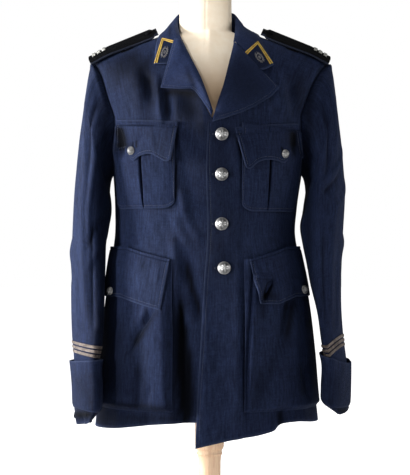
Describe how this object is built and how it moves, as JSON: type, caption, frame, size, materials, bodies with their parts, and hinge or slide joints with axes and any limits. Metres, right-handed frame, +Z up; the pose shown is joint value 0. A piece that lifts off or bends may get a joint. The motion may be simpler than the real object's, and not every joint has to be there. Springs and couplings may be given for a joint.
{
  "type": "military dress tunic on a limbless dress form",
  "caption": "Open-collared military dress tunic with patch pockets, shoulder boards and turned-back cuffs, buttoned on a limbless dress form on a turned stand.",
  "frame": {"origin": "centre of the underside of the stand's base", "axes": "+Z up, the tunic faces -Y, and +X is the wearer's left"},
  "size_m": [0.5284, 0.33, 1.078],
  "materials": {
    "navy_wool": "heavy wool gabardine, matt twill",
    "silvered_metal": "silvered, a little tarnished",
    "silver_braid": "tarnished silver braid",
    "yellow_braid": "flat yellow braid",
    "black_board": "black cloth over a stiff board",
    "white_jersey": "smooth stretched jersey",
    "pale_wood": "clear varnished, turned"
  },
  "bodies": {
    "root": {"back_left": "navy_wool", "back_right": "navy_wool", "board_stripe_left_1": "silver_braid", "board_stripe_left_2": "silver_braid", "board_stripe_left_3": "silver_braid", "board_stripe_right_1": "silver_braid", "board_stripe_right_2": "silver_braid", "board_stripe_right_3": "silver_braid", "chest_button_left": "silvered_metal", "chest_button_right": "silvered_metal", "chest_flap_left": "navy_wool", "chest_flap_right": "navy_wool", "chest_pocket_left": "navy_wool", "chest_pocket_right": "navy_wool", "collar": "navy_wool", "collar_patch_left": "navy_wool", "collar_patch_right": "navy_wool", "cuff_left": "navy_wool", "cuff_right": "navy_wool", "dress_form": "white_jersey", "front_button_1": "silvered_metal", "front_button_2": "silvered_metal", "front_button_3": "silvered_metal", "front_button_4": "silvered_metal", "front_left": "navy_wool", "front_right": "navy_wool", "lapel_left": "navy_wool", "lapel_right": "navy_wool", "patch_braid_left": "yellow_braid", "patch_braid_right": "yellow_braid", "shoulder_board_left": "black_board", "shoulder_board_right": "black_board", "skirt_button_left": "silvered_metal", "skirt_button_right": "silvered_metal", "skirt_flap_left": "navy_wool", "skirt_flap_right": "navy_wool", "skirt_pocket_left": "navy_wool", "skirt_pocket_right": "navy_wool", "sleeve_left": "navy_wool", "sleeve_right": "navy_wool", "sleeve_stripe_left_1": "silver_braid", "sleeve_stripe_left_2": "silver_braid", "sleeve_stripe_left_3": "silver_braid", "sleeve_stripe_right_1": "silver_braid", "sleeve_stripe_right_2": "silver_braid", "sleeve_stripe_right_3": "silver_braid", "stand_base": "pale_wood", "stand_pole": "pale_wood"}
  },
  "joints": []
}
